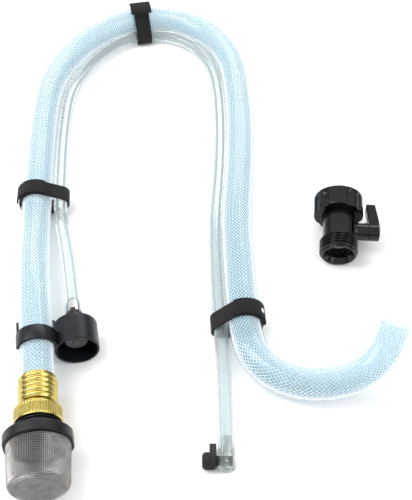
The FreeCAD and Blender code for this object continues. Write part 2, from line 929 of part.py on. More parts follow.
def make_valve_body():
    """The valve's tailpiece, which carries the nut, and its body with bonnet and outlet thread."""
    flange, tail, start = 7.1, 17.6, dim.valve_start
    turned_piece(
        "valve_tailpiece",
        [
            (dim.tail_bore, 0),
            (dim.tail_flange, 0),
            (dim.tail_flange, 1.7),
            (dim.tail_radius, 1.7),
            (dim.tail_radius, tail - flange),
            (dim.tail_bore, tail - flange),
        ],
        shifted(VALVE, z=flange),
    )
    body = new_body("valve_body")
    shoulder = dim.valve_shoulder - start
    end = dim.valve_length - start
    pitch = dim.thread_pitch
    ridges = thread_points(dim.thread_root, dim.thread_radius, shoulder + 0.3, pitch, 5)
    seat_end = dim.ball_height - start + 9.4
    revolve(body, [
        (dim.tail_radius, 0),
        (dim.valve_radius, 0),
        (dim.valve_radius, shoulder - 0.6),
        (dim.thread_root, shoulder - 0.1),
        *ridges,
        (dim.thread_root, end - 1.0),
        (dim.thread_root - 0.5, end),
        (dim.valve_outlet_bore + 1.1, end),
        (dim.valve_outlet_bore - 1.4, end - 3.5),
        (dim.valve_outlet_bore - 1.4, seat_end),
        (dim.tail_radius, seat_end),
    ])
    bonnet = new_sketch(body, "bonnet", "YZ_Plane", offset=dim.tail_radius + 0.6)
    height = dim.ball_height - start
    circle_at(bonnet, 0, height, dim.bonnet_radius)
    pad(body, bonnet, dim.bonnet_reach - dim.tail_radius - 0.6)
    stop = new_sketch(body, "stop", "YZ_Plane", offset=dim.bonnet_reach - 3.2)
    circle_at(stop, 0, height - dim.bonnet_radius - 0.3, dim.stop_radius)
    pad(body, stop, 2.6)
    hole = new_sketch(body, "gland", "YZ_Plane")
    circle_at(hole, 0, height, dim.valve_stem_radius + dim.valve_stem_fit)
    pocket(body, hole, 40.0, reverse=True)
    keep(body, shifted(VALVE, z=start.value))


def make_valve_seats():
    """The two soft rings that the ball turns between."""
    gap = 9.35
    places = {
        "valve_seat_inlet": (VALVE, dim.ball_height.value - gap),
        "valve_seat_outlet": (VALVE, dim.ball_height.value + gap),
    }
    for label, (frame, height) in places.items():
        facing = 1 if label.endswith("inlet") else -1
        axis = frame.Rotation.multVec(Vector(0, 0, facing))
        place = along(shifted(frame, z=height).Base, axis)
        thick, outer = dim.seat_thickness, dim.tail_radius - 0.15
        inner = dim.valve_waterway + 0.4
        turned_piece(
            label,
            [(inner, 0), (outer, 0), (outer, thick), (inner + 2.0, thick), (inner, thick - 1.2)],
            place,
        )


def make_valve_ball():
    """The ball with its waterway and the slot that the stem turns it by."""
    ball = doc.addObject("Part::Sphere", "valve_ball_sphere")
    bind(ball, "Radius", dim.ball_radius)
    way = doc.addObject("Part::Cylinder", "valve_ball_waterway")
    bind(way, "Radius", dim.valve_waterway)
    bind(way, "Height", dim.ball_radius * 3)
    bind(way, "Placement.Base.z", -dim.ball_radius * 1.5)
    slot = doc.addObject("Part::Box", "valve_ball_slot")
    bind(slot, "Length", Size.of(6.0))
    bind(slot, "Width", dim.valve_stem_radius * 2 - 3.0)
    bind(slot, "Height", dim.ball_radius * 3)
    bind(slot, "Placement.Base.x", dim.ball_radius - 2.0)
    bind(slot, "Placement.Base.y", 1.5 - dim.valve_stem_radius)
    bind(slot, "Placement.Base.z", -dim.ball_radius * 1.5)
    cutters = doc.addObject("Part::MultiFuse", "valve_ball_cutters")
    cutters.Shapes = [way, slot]
    cut = doc.addObject("Part::Cut", "valve_ball")
    cut.Base = ball
    cut.Tool = cutters
    cut.Label = "valve_ball"
    keep(cut, shifted(VALVE, z=dim.ball_height.value))


def make_valve_handle():
    """The stem with its tang, its O-ring, and the lever handle."""
    axis = VALVE.Rotation.multVec(Vector(1, 0, 0))
    back = VALVE.Rotation.multVec(Vector(0, 0, -1))
    centre = shifted(VALVE, z=dim.ball_height.value).Base
    foot = dim.ball_radius - 1.8
    place = along(centre + axis * foot.value, axis, up=back)
    stem = new_body("valve_stem")
    radius = dim.valve_stem_radius
    reach = dim.bonnet_reach + dim.handle_thickness - 1.2 - foot
    shank = new_sketch(stem, "tang", "XY_Plane")
    outline(shank, [
        (1.6 - radius, 2.4 - radius * 1.5),
        (radius - 1.6, 2.4 - radius * 1.5),
        (radius - 1.6, radius * 1.5 - 2.4),
        (1.6 - radius, radius * 1.5 - 2.4),
    ])
    pad(stem, shank, 2.4)
    revolve(stem, [
        (0, 2.2),
        (radius, 2.2),
        (radius, 8.0),
        (2.3, 8.0),
        (2.3, 8.9),
        (radius, 8.9),
        (radius, reach),
        (0, reach),
    ], "shaft")
    keep(stem, place)
    ring = doc.addObject("Part::Torus", "valve_stem_oring")
    ring.Label = "valve_stem_oring"
    bind(ring, "Radius1", radius - 0.36)
    ring.Radius2 = 0.32
    keep(ring, shifted(place, z=8.45))
    handle = new_body("valve_handle")
    hub, thick = dim.bonnet_radius, dim.handle_thickness
    boss = new_sketch(handle, "hub", "XY_Plane")
    circle_at(boss, 0, 0, hub)
    pad(handle, boss, thick)
    slab = new_sketch(handle, "lever", "YZ_Plane")
    lean, tip = dim.handle_lean, dim.handle_reach
    outline(slab, [
        (0, 0),
        (hub + 1.0, 0),
        (tip, -lean),
        (tip, thick - lean - 0.8),
        (0, thick),
    ])
    pad(handle, slab, dim.handle_tip_width, both_ways=True)
    socket = new_sketch(handle, "socket", "XY_Plane")
    circle_at(socket, 0, 0, radius)
    pocket(handle, socket, thick - 1.2, reverse=True)
    keep(handle, shifted(place, z=(dim.bonnet_reach - foot + 0.15).value))


# ---------------------------------------------------------------- build and write


def check_document():
    """Stops if an object failed, or if a sub-part has no sound solid."""
    doc.recompute()
    for thing in doc.Objects:
        if "Invalid" in thing.State or "Error" in thing.State:
            raise RuntimeError(f"{thing.Name} failed: {thing.State}")
    for node in NODES:
        if node.Shape.isNull() or not node.Shape.isValid() or not node.Shape.Solids:
            raise RuntimeError(f"{node.Label} has no sound solid")


def write_parts():
    """Writes one STEP file for each sub-part."""
    os.makedirs("parts", exist_ok=True)
    for node in NODES:
        node.Shape.exportStep(os.path.join("parts", f"{node.Label}.step"))
    print(len(NODES), "sub-parts")


make_tubes()
make_ferrule()
make_stem()
make_strainer(make_swivel_nut())
make_priming_cap()
make_cap_fittings()
make_straps()
make_tap_body()
make_tap_plug()
make_valve_nut()
make_valve_body()
make_valve_seats()
make_valve_ball()
make_valve_handle()
check_document()
write_parts()
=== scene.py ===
"""The looks of the gravel vacuum siphon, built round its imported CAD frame. Lengths are in metres."""

import math
import random

import bmesh
import bpy
from mathutils import Matrix, Vector


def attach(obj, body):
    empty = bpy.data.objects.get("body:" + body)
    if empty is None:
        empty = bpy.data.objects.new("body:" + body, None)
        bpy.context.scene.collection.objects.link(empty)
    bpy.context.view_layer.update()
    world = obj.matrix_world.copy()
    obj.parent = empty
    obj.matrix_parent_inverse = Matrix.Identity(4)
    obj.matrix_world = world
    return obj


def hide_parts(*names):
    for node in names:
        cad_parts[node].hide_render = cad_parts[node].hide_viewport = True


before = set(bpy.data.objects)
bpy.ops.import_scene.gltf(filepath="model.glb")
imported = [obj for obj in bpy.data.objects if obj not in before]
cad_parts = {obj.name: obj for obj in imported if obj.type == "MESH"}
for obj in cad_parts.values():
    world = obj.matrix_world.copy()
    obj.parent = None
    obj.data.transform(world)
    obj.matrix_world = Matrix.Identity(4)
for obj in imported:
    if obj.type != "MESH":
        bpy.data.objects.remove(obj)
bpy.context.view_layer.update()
MM = 0.001
TAU = 2 * math.pi
UP = Vector((0, 0, 1))

# ---------------------------------------------------------------- routes

BEND = Vector((-0.0423, 0.1432, 0))

HOSE_ROUTE = [BEND + Vector(p) for p in [
    (-0.0518, -0.3180, 0.0213),
    (-0.0562, -0.2822, 0.0213),
    (-0.0658, -0.2230, 0.0213),
    (-0.0715, -0.1700, 0.0130),
    (-0.0757, -0.1100, 0.0128),
    (-0.0784, -0.0500, 0.0128),
    (-0.0772, -0.0090, 0.0128),
    (-0.0645, 0.0270, 0.0128),
    (-0.0455, 0.0540, 0.0128),
    (-0.0220, 0.0720, 0.0128),
    (0.0080, 0.0778, 0.0128),
    (0.0375, 0.0690, 0.0128),
    (0.0595, 0.0475, 0.0128),
    (0.0715, 0.0180, 0.0128),
    (0.0758, -0.0180, 0.0128),
    (0.0768, -0.0640, 0.0128),
    (0.0750, -0.1120, 0.0128),
    (0.0713, -0.1600, 0.0128),
    (0.0732, -0.2200, 0.0128),
    (0.0760, -0.2660, 0.0128),
    (0.0850, -0.2838, 0.0128),
    (0.0995, -0.2948, 0.0128),
    (0.1165, -0.2988, 0.0128),
    (0.1330, -0.2972, 0.0132),
    (0.1470, -0.2935, 0.0155),
    (0.1585, -0.2865, 0.0210),
    (0.1653, -0.2783, 0.0290),
    (0.1685, -0.2705, 0.0390),
]]

TUBE_ROUTE = [BEND + Vector(p) for p in [
    (-0.0369, -0.2474, 0.0144),
    (-0.0417, -0.2178, 0.0144),
    (-0.0478, -0.1870, 0.0138),
    (-0.0552, -0.1570, 0.0128),
    (-0.0591, -0.1150, 0.0112),
    (-0.0624, -0.0600, 0.0084),
    (-0.0620, -0.0120, 0.0068),
    (-0.0508, 0.0199, 0.0068),
    (-0.0343, 0.0433, 0.0068),
    (-0.0156, 0.0577, 0.0068),
    (0.0072, 0.0621, 0.0068),
    (0.0295, 0.0554, 0.0068),
    (0.0465, 0.0388, 0.0068),
    (0.0566, 0.0141, 0.0068),
    (0.0605, -0.0191, 0.0068),
    (0.0615, -0.0639, 0.0068),
    (0.0597, -0.1111, 0.0068),
    (0.0560, -0.1597, 0.0068),
    (0.0580, -0.2220, 0.0068),
    (0.0606, -0.2620, 0.0066),
    (0.0619, -0.3030, 0.0059),
    (0.0623, -0.3406, 0.0054),
]]


def place(origin, axis, up=UP):
    """The matrix of a piece with its Z axis along axis, and its Y axis as near to up as can be."""
    axis = Vector(axis).normalized()
    side = Vector(up).cross(axis).normalized()
    turn = Matrix((side, axis.cross(side), axis)).transposed()
    return Matrix.Translation(origin) @ turn.to_4x4()


def shift(matrix, x=0.0, y=0.0, z=0.0):
    """A place moved along its own axes."""
    return matrix @ Matrix.Translation((x, y, z))


COUPLING_RUN = (HOSE_ROUTE[0] - HOSE_ROUTE[1]).normalized()
COUPLING = place(HOSE_ROUTE[0] + COUPLING_RUN * MM, COUPLING_RUN)
CAP = place(TUBE_ROUTE[0], TUBE_ROUTE[0] - TUBE_ROUTE[1])
TAP_RUN = (TUBE_ROUTE[-1] - TUBE_ROUTE[-2]).normalized()
TAP = place(TUBE_ROUTE[-1], TAP_RUN)


def valve_place():
    """The valve rests on its nut's rim and its last thread ridge, leaning down to its outlet."""
    nut_radius, nut_rim, thread_radius, thread_end, length = 17.6, 14.5, 13.4, 47.8, 48.5
    lean = math.atan2(nut_radius - thread_radius, thread_end - nut_rim)
    heading = math.radians(184.1)
    axis = Vector((
        math.sin(heading) * math.cos(lean),
        math.cos(heading) * math.cos(lean),
        -math.sin(lean),
    ))
    height = nut_radius * math.cos(lean) + nut_rim * math.sin(lean)
    start = Vector((100.0, -51.4, 0)) - Vector((axis.x, axis.y, 0)) * length
    start.z = height
    return place(start * MM, axis)


VALVE = valve_place()
BALL_HEIGHT = 27.5 * MM
LEVER = VALVE @ Matrix.Translation((0, 0, BALL_HEIGHT)) @ Matrix.Rotation(math.pi / 2, 4, "Y")

# ---------------------------------------------------------------- mesh making


class Shape:
    """Gathers points and faces, in the row frame, into one piece."""

    def __init__(self):
        self.points = []
        self.faces = []
        self.marks = []
        self.uvs = []

    def add(self, points, faces, matrix=None, mark=0, uvs=None):
        """Adds points, and faces that index them. uvs has one (u, v) list for each face."""
        base = len(self.points)
        self.points += [matrix @ Vector(p) if matrix else Vector(p) for p in points]
        for number, face in enumerate(faces):
            self.faces.append([base + i for i in face])
            self.marks.append(mark)
            self.uvs.append(uvs[number] if uvs else [(0.0, 0.0)] * len(face))

    def add_bmesh(self, made, matrix):
        """Adds the faces of a bmesh and frees it."""
        made.verts.ensure_lookup_table()
        points = [v.co.copy() for v in made.verts]
        faces = [[v.index for v in f.verts] for f in made.faces]
        made.free()
        self.add(points, faces, matrix)

    def move(self, base, matrix):
        """Carries every point from number base on to a place."""
        self.points[base:] = [matrix @ p for p in self.points[base:]]

    def build(self, name, body, materials, stands_for=(), slot=None, sharp=38):
        """Makes the object, which rides on a body and stands for CAD nodes."""
        mesh = bpy.data.meshes.new(name)
        mesh.from_pydata([tuple(p) for p in self.points], [], self.faces)
        layer = mesh.uv_layers.new(name="UVMap")
        flat = [c for face in self.uvs for uv in face for c in uv]
        layer.data.foreach_set("uv", flat)
        for material in materials if isinstance(materials, (list, tuple)) else [materials]:
            mesh.materials.append(material)
        mesh.polygons.foreach_set("material_index", self.marks)
        mesh.polygons.foreach_set("use_smooth", [True] * len(self.faces))
        mesh.update()
        mesh.validate()
        tidy = bmesh.new()
        tidy.from_mesh(mesh)
        bmesh.ops.recalc_face_normals(tidy, faces=tidy.faces)
        tidy.to_mesh(mesh)
        tidy.free()
        mesh.set_sharp_from_angle(angle=math.radians(sharp))
        piece = bpy.data.objects.new(name, mesh)
        bpy.context.scene.collection.objects.link(piece)
        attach(piece, body)
        if stands_for:
            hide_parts(*stands_for)
        return piece


def rounded(profile, radius, steps=4):
    """A closed (r, z) profile, in mm, with each corner rounded off.

    A point may carry its own radius as a third number.
    """
    made = []
    count = len(profile)
    for i, corner in enumerate(profile):
        here = Vector(corner[:2])
        before = Vector(profile[i - 1][:2])
        after = Vector(profile[(i + 1) % count][:2])
        wish = corner[2] if len(corner) > 2 else radius
        back, ahead = before - here, after - here
        trim = min(wish, back.length * 0.45, ahead.length * 0.45)
        if trim < 1e-3 or here.x < 1e-6:
            made.append(tuple(here))
            continue
        start = here + back.normalized() * trim
        end = here + ahead.normalized() * trim
        for k in range(steps + 1):
            t = k / steps
            made.append(tuple(start * (1 - t) ** 2 + here * 2 * t * (1 - t) + end * t**2))
    return made


def dense(profile, step):
    """A closed profile with its long edges split into steps, in mm."""
    made = []
    for i, start in enumerate(profile):
        end = profile[(i + 1) % len(profile)]
        parts = max(1, math.ceil(math.dist(start, end) / step))
        made += [
            (start[0] + (end[0] - start[0]) * k / parts, start[1] + (end[1] - start[1]) * k / parts)
            for k in range(parts)
        ]
    return made


def turned(shape, profile, matrix, segments=96, reshape=None):
    """Turns a closed (r, z) profile, in mm, round Z.

    reshape gives a point's radius from its angle, r and z.
    """
    count = len(profile)
    points = []
    for k in range(segments):
        angle = TAU * k / segments
        for r, z in profile:
            if reshape:
                r = reshape(angle, r, z)
            points.append((r * MM * math.cos(angle), r * MM * math.sin(angle), z * MM))
    along = [0.0]
    for i in range(count):
        along.append(along[-1] + math.dist(profile[i], profile[(i + 1) % count]))
    faces, uvs = [], []
    for k in range(segments):
        ahead = (k + 1) % segments
        for i in range(count):
            j = (i + 1) % count
            if profile[i][0] < 1e-6 and profile[j][0] < 1e-6:
                continue
            faces.append([k * count + i, ahead * count + i, ahead * count + j, k * count + j])
            uvs.append([(k, along[i]), (k + 1, along[i]), (k + 1, along[i + 1]), (k, along[i + 1])])
    shape.add(points, faces, matrix, uvs=uvs)


def swept(shape, spots, section, closed=False, grow=None):
    """Sweeps a closed section, (a, b) in metres, along (point, side, up) spots."""
    count = len(section)
    points = []
    for number, (point, side, up) in enumerate(spots):
        size = grow(number) if grow else 1.0
        points += [point + side * (a * size) + up * (b * size) for a, b in section]
    rings = len(spots)
    around = [0.0]
    for i in range(count):
        around.append(around[-1] + math.dist(section[i], section[(i + 1) % count]) / MM)
    run = [0.0]
    for k in range(1, rings + 1):
        run.append(run[-1] + (spots[k % rings][0] - spots[k - 1][0]).length / MM)
    faces, uvs = [], []
    for k in range(rings if closed else rings - 1):
        ahead = (k + 1) % rings
        for i in range(count):
            j = (i + 1) % count
            faces.append([k * count + i, k * count + j, ahead * count + j, ahead * count + i])
            uvs.append([
                (run[k], around[i]),
                (run[k], around[i + 1]),
                (run[k + 1], around[i + 1]),
                (run[k + 1], around[i]),
            ])
    if not closed:
        faces.append(list(range(count)))
        faces.append([(rings - 1) * count + i for i in reversed(range(count))])
        uvs += [[(0.0, 0.0)] * count] * 2
    shape.add(points, faces, uvs=uvs)


def round_section(radius, sides):
    """A circle to sweep."""
    return [
        (radius * math.cos(TAU * k / sides), radius * math.sin(TAU * k / sides))
        for k in range(sides)
    ]


def soft_rectangle(width, height, radius, steps=3):
    """A rectangle with round corners to sweep, centred on the line."""
    made = []
    for quarter, (a, b) in enumerate(((1, 1), (-1, 1), (-1, -1), (1, -1))):
        for k in range(steps + 1):
            angle = math.pi / 2 * (quarter + k / steps)
            made.append((
                a * (width / 2 - radius) + radius * math.cos(angle),
                b * (height / 2 - radius) + radius * math.sin(angle),
            ))
    return made


def prism(shape, outline, low, high, matrix, soft):
    """A plate of an outline, in mm, from low to high along Z, with its edges rounded."""
    made = bmesh.new()
    count = len(outline)
    bottom = [made.verts.new((x * MM, y * MM, low * MM)) for x, y in outline]
    top = [made.verts.new((x * MM, y * MM, high * MM)) for x, y in outline]
    made.faces.new(list(reversed(bottom)))
    made.faces.new(top)
    for i in range(count):
        j = (i + 1) % count
        made.faces.new([bottom[i], bottom[j], top[j], top[i]])
    made.edges.ensure_lookup_table()
    bmesh.ops.bevel(
        made,
        geom=[e for e in made.edges if e.calc_face_angle(0) > 0.4],
        offset=soft * MM,
        segments=3,
        profile=0.5,
        affect="EDGES",
        clamp_overlap=True,
    )
    made.verts.index_update()
    shape.add_bmesh(made, matrix)


# ---------------------------------------------------------------- lines of the free tubes


def spline_line(name, route):
    """The points of a smooth NURBS line that has the route as its control points."""
    curve = bpy.data.curves.new(name, "CURVE")
    curve.dimensions = "3D"
    spline = curve.splines.new("NURBS")
    spline.points.add(len(route) - 1)
    for point, spot in zip(spline.points, route):
        point.co = (*spot, 1.0)
    spline.order_u = 3
    spline.use_endpoint_u = True
    spline.resolution_u = 20
    holder = bpy.data.objects.new(name, curve)
    bpy.context.scene.collection.objects.link(holder)
    bpy.context.view_layer.update()
    mesh = bpy.data.meshes.new_from_object(holder)
    line = [v.co.copy() for v in mesh.vertices]
    bpy.data.objects.remove(holder)
    bpy.data.curves.remove(curve)
    bpy.data.meshes.remove(mesh)
    return line


class Line:
    """A line that can be asked for its place and its frame at any distance from its start."""

    def __init__(self, points):
        self.points = points
        self.marks = [0.0]
        for a, b in zip(points, points[1:]):
            self.marks.append(self.marks[-1] + (b - a).length)
        self.length = self.marks[-1]
        self.last = 0

    def at(self, distance):
        """The point, the sideways direction and the upward direction at a distance."""
        distance = min(max(distance, 0.0), self.length)
        i = self.last
        while i > 0 and self.marks[i] > distance:
            i -= 1
        while i < len(self.marks) - 2 and self.marks[i + 1] < distance:
            i += 1
        self.last = i
        span = self.marks[i + 1] - self.marks[i]
        share = (distance - self.marks[i]) / span
        point = self.points[i].lerp(self.points[i + 1], share)
        heading = self.heading(i).lerp(self.heading(i + 1), share).normalized()
        side = heading.cross(UP).normalized()
        return point, side, side.cross(heading)

    def heading(self, i):
        low, high = max(i - 1, 0), min(i + 1, len(self.points) - 1)
        return (self.points[high] - self.points[low]).normalized()


hose_line = Line(spline_line("hose_line", HOSE_ROUTE))
tube_line = Line(spline_line("tube_line", TUBE_ROUTE))

# ---------------------------------------------------------------- materials


class Paint:
    """A node material under construction."""

    def __init__(self, name):
        self.material = bpy.data.materials.new(name)
        self.material.use_nodes = True
        self.tree = self.material.node_tree
        self.tree.nodes.clear()
        self.end = self.tree.nodes.new("ShaderNodeOutputMaterial")
        self.spots = self.tree.nodes.new("ShaderNodeTexCoord")

    def node(self, kind, inputs=None, output=0, **settings):
        """Adds a node and gives one of its outputs."""
        made = self.tree.nodes.new("ShaderNode" + kind)
        for key, value in settings.items():
            setattr(made, key, value)
        for key, value in (inputs or {}).items():
            if isinstance(value, bpy.types.NodeSocket):
                self.tree.links.new(value, made.inputs[key])
            else:
                made.inputs[key].default_value = value
        return made.outputs[output]

    def maths(self, operation, a, b=0.0, clamp=False):
        return self.node("Math", {0: a, 1: b}, operation=operation, use_clamp=clamp)

    def noise(self, scale, detail=3.0, roughness=0.5):
        return self.node("TexNoise", {
            "Vector": self.spots.outputs["Object"],
            "Scale": scale,
            "Detail": detail,
            "Roughness": roughness,
        })

    def ramp(self, factor, stops):
        """A colour ramp from (place, colour) stops."""
        made = self.tree.nodes.new("ShaderNodeValToRGB")
        self.tree.links.new(factor, made.inputs[0])
        while len(made.color_ramp.elements) < len(stops):
            made.color_ramp.elements.new(0.5)
        for element, (spot, colour) in zip(made.color_ramp.elements, stops):
            element.position = spot
            element.color = (*colour, 1.0)
        return made.outputs[0]

    def grey(self, factor, low, high):
        """Maps the middle of a noise's range to a number between low and high."""
        made = {"Value": factor, "From Min": 0.3, "From Max": 0.7, "To Min": low, "To Max": high}
        return self.node("MapRange", made)

    def bump(self, height, strength, distance):
        return self.node("Bump", {"Height": height, "Strength": strength, "Distance": distance})

    def skin(self, inputs):
        return self.node("BsdfPrincipled", inputs)

    def finish(self, shader):
        self.tree.links.new(shader, self.end.inputs["Surface"])
        return self.material


def moulded(name, colour, paler, rough, grain=0.1, gloss=0.5):
    """Moulded plastic or rubber: faint mottling, fine grain and patchy gloss."""
    paint = Paint(name)
    broad = paint.noise(90.0, 4.0)
    fine = paint.noise(2600.0, 2.0)
    shade = paint.ramp(broad, [(0.35, colour), (0.7, paler)])
    rough_map = paint.grey(broad, rough * 0.85, rough * 1.2)
    normal = paint.bump(fine, grain, 0.0001)
    return paint.finish(paint.skin({
        "Base Color": shade,
        "Roughness": rough_map,
        "Specular IOR Level": gloss,
        "Normal": normal,
    }))


def metal(name, colour, darker, rough, grain=0.08):
    """Polished metal with faint turning marks and tarnish."""
    paint = Paint(name)
    broad = paint.noise(160.0, 5.0)
    fine = paint.noise(3500.0, 2.0)
    shade = paint.ramp(broad, [(0.3, darker), (0.62, colour)])
    rough_map = paint.grey(broad, rough * 1.3, rough * 0.8)
    normal = paint.bump(fine, grain, 0.00006)
    return paint.finish(paint.skin({
        "Base Color": shade,
        "Metallic": 1.0,
        "Roughness": rough_map,
        "Normal": normal,
    }))


def clear(name, tint, milk_colour, milk, edge, rough=0.1, shiny=0.7):
    """Clear plastic: it lets light straight through, and is milkier and glossier at its edges."""
    paint = Paint(name)
    uneven = paint.noise(240.0, 3.0)
    facing = paint.node("LayerWeight", {"Blend": 0.35}, output=1)
    rim = paint.maths("POWER", facing, 2.2)
    body = paint.maths("MULTIPLY_ADD", rim, edge)
    body.node.inputs[2].default_value = milk
    body = paint.maths("MULTIPLY", body, paint.grey(uneven, 0.9, 1.1), clamp=True)
    through = paint.node("BsdfTransparent", {"Color": (*tint, 1.0)})
    solid = paint.skin({
        "Base Color": (*milk_colour, 1.0),
        "Roughness": rough * 2,
        "Specular IOR Level": 0.4,
    })
    mixed = paint.node("MixShader", {0: body, 1: through, 2: solid})
    shine = paint.node("BsdfGlossy", {"Color": (1, 1, 1, 1), "Roughness": rough})
    fresnel = paint.maths("MULTIPLY", paint.node("Fresnel", {"IOR": 1.45}), shiny)
    return paint.finish(paint.node("MixShader", {0: fresnel, 1: mixed, 2: shine}))


def yarn_material():
    """White polyester yarn: fine strands with a soft sheen, and a faint painted glow that stands in
    for light scattered onto it through the clear hose.
    """
    paint = Paint("polyester_yarn")
    strands = paint.noise(3000.0, 3.0)
    shade = paint.ramp(strands, [(0.3, (0.96, 0.98, 0.99)), (0.7, (1.0, 1.0, 1.0))])
    return paint.finish(paint.skin({
        "Base Color": shade,
        "Roughness": 0.45,
        "Sheen Weight": 0.2,
        # Painted glow: this emission brightens the yarn as if lit by light scattered through the clear
        # PVC, though the yarn gives off no light.
        "Emission Color": (0.95, 0.98, 1.0, 1.0),
        "Emission Strength": 0.22,
        "Normal": paint.bump(strands, 0.3, 0.0001),
    }))


def strap_material():
    """Black hook-and-loop tape: a tight weave of short loops."""
    paint = Paint("loop_tape")
    yarns = {"Vector": paint.spots.outputs["UV"], "Scale": 0.55, "Distortion": 0.6, "Detail": 1.0}
    warp = paint.node("TexWave", yarns)
    weft = paint.node("TexWave", yarns, bands_direction="Y")
    loops = paint.noise(1800.0, 4.0, 0.7)
    weave = paint.maths("ADD", paint.maths("MULTIPLY", warp, weft), loops)
    shade = paint.ramp(weave, [(0.35, (0.002, 0.002, 0.0025)), (0.95, (0.013, 0.013, 0.015))])
    return paint.finish(paint.skin({
        "Base Color": shade,
        "Roughness": 0.8,
        "Specular IOR Level": 0.25,
        "Sheen Weight": 0.06,
        "Sheen Roughness": 0.4,
        "Normal": paint.bump(weave, 0.8, 0.0003),
    }))


BRASS = metal("brass", (0.62, 0.50, 0.155), (0.47, 0.375, 0.10), 0.2)
STAINLESS = metal("stainless", (0.66, 0.66, 0.67), (0.52, 0.52, 0.53), 0.22)
WIRE = metal("mesh_wire", (0.43, 0.42, 0.41), (0.30, 0.29, 0.28), 0.36)
SATIN_BLACK = moulded("satin_black", (0.004, 0.0045, 0.0055), (0.008, 0.009, 0.011), 0.34, gloss=0.3)
SLATE = moulded("slate_plastic", (0.0035, 0.0048, 0.0075), (0.007, 0.0095, 0.014), 0.34, gloss=0.3)
GLOSS_BLACK = moulded(
    "gloss_black", (0.002, 0.002, 0.0025), (0.005, 0.005, 0.006), 0.16, grain=0.04, gloss=0.35
)
MATTE_BLACK = moulded(
    "matte_black", (0.005, 0.005, 0.006), (0.011, 0.011, 0.012), 0.45, grain=0.2, gloss=0.3
)
WHITE_PLASTIC = moulded("white_plastic", (0.70, 0.69, 0.64), (0.80, 0.79, 0.75), 0.3)
RUBBER = moulded("black_rubber", (0.010, 0.010, 0.010), (0.02, 0.02, 0.02), 0.6, grain=0.3)
GREY_RUBBER = moulded("grey_rubber", (0.05, 0.055, 0.06), (0.075, 0.08, 0.085), 0.45, grain=0.2)
HOSE_SKIN = clear("hose_pvc", (0.99, 0.997, 1.0), (0.90, 0.96, 0.98), 0.01, 0.22, shiny=0.55)
HOSE_CORE = clear("hose_inner_tube", (0.98, 0.995, 1.0), (0.36, 0.62, 0.745), 0.42, 0.1, shiny=0.0)
HOSE_LINING = clear("hose_lining", (0.985, 0.995, 1.0), (0.80, 0.90, 0.94), 0.06, 0.2, shiny=0.0)
TUBE_SKIN = clear("tube_pvc", (0.97, 0.988, 0.99), (0.86, 0.91, 0.89), 0.06, 0.5)
TUBE_LINING = clear("tube_lining", (0.95, 0.975, 0.98), (0.72, 0.82, 0.84), 0.12, 0.4, shiny=0.0)
ACRYLIC = clear("clear_acrylic", (0.95, 0.97, 0.96), (0.70, 0.76, 0.76), 0.12, 0.6)
YARN = yarn_material()
STRAP = strap_material()

# ---------------------------------------------------------------- hose and air tube


def ring_faces(rings, sides):
    """The faces that join rings of points, each ring with the same number of sides."""
    faces = []
    for k in range(rings):
        for i in range(sides):
            j = (i + 1) % sides
            faces.append([k * sides + i, k * sides + j, (k + 1) * sides + j, (k + 1) * sides + i])
    return faces


def hollow(name, line, radius, bore, skin, lining, node, sides=48, step=2.2 * MM):
    """A tube wall that follows a line, with its two cut ends."""
    shape = Shape()
    rings = max(2, round(line.length / step))
    spots = [line.at(line.length * k / rings) for k in range(rings + 1)]
    for size, mark in ((radius, 0), (bore, 1)):
        circle = round_section(size, sides)
        points = [p + s * a + u * b for p, s, u in spots for a, b in circle]
        faces = ring_faces(rings, sides)
        shape.add(points, [f[::-1] for f in faces] if mark else faces, mark=mark)
    inner = (rings + 1) * sides
    for ring in (0, rings):
        base = ring * sides
        for i in range(sides):
            j = (i + 1) % sides
            quad = [base + i, base + j, inner + base + j, inner + base + i]
            shape.faces.append(quad)
            shape.marks.append(0)
            shape.uvs.append([(0.0, 0.0)] * 4)
    piece = shape.build(name, "siphon", [skin, lining], [node])
    return piece, [p for p, _, _ in spots]


def make_inner_tube(line, sides=48, step=2.2 * MM):
    """The face of the hose's inner tube, which the yarns lie on."""
    radius, end_gap = 9.35 * MM, 0.5 * MM
    rings = round(line.length / step)
    circle = round_section(radius, sides)
    points = []
    for k in range(rings + 1):
        p, s, u = line.at(end_gap + (line.length - 2 * end_gap) * k / rings)
        points += [p + s * a + u * b for a, b in circle]
    shape = Shape()
    shape.add(points, ring_faces(rings, sides))
    return shape.build("hose_inner_tube", "siphon", HOSE_CORE, slot="braided_pvc", sharp=80)


def make_braid(line):
    """The diamond braid inside the hose's wall: two crossing families of flat yarns."""
    shape = Shape()
    per_family = 24
    turn_length = 69.6 * MM
    crossings = 2 * per_family
    radius, wave = 9.7 * MM, 0.13 * MM
    half_width, thick = 0.56 * MM, 0.28 * MM
    start, stop = 0.6 * MM, line.length - 0.1 * MM
    steps = int((stop - start) / (turn_length / crossings))
    spots = [line.at(start + k * turn_length / crossings) for k in range(steps + 1)]
    slope = TAU * radius / turn_length
    for direction in (1, -1):
        for yarn in range(per_family):
            points = []
            for k, (point, side, up) in enumerate(spots):
                angle = TAU * (yarn / per_family + direction * k / crossings)
                weave = direction * (wave if k % 2 else -wave)
                out = side * math.cos(angle) + up * math.sin(angle)
                round_way = up * math.cos(angle) - side * math.sin(angle)
                ahead = side.cross(up)
                across = (round_way - ahead * (direction * slope)).normalized()
                middle = point + out * (radius + weave)
                points += [
                    middle - across * half_width,
                    middle + out * thick,
                    middle + across * half_width,
                ]
            shape.add(points, ring_faces(steps, 3))
    return shape.build("hose_braid", "siphon", YARN, slot="braided_pvc", sharp=80)


hose, hose_path = hollow(
    "hose_wall", hose_line, 11.0 * MM, 8.0 * MM, HOSE_SKIN, HOSE_LINING, "main_hose"
)
inner_tube = make_inner_tube(hose_line)
braid = make_braid(hose_line)
tube, tube_path = hollow(
    "air_tube_wall", tube_line, 5.0 * MM, 3.5 * MM, TUBE_SKIN, TUBE_LINING, "air_tube", 40
)

# ---------------------------------------------------------------- brass coupling


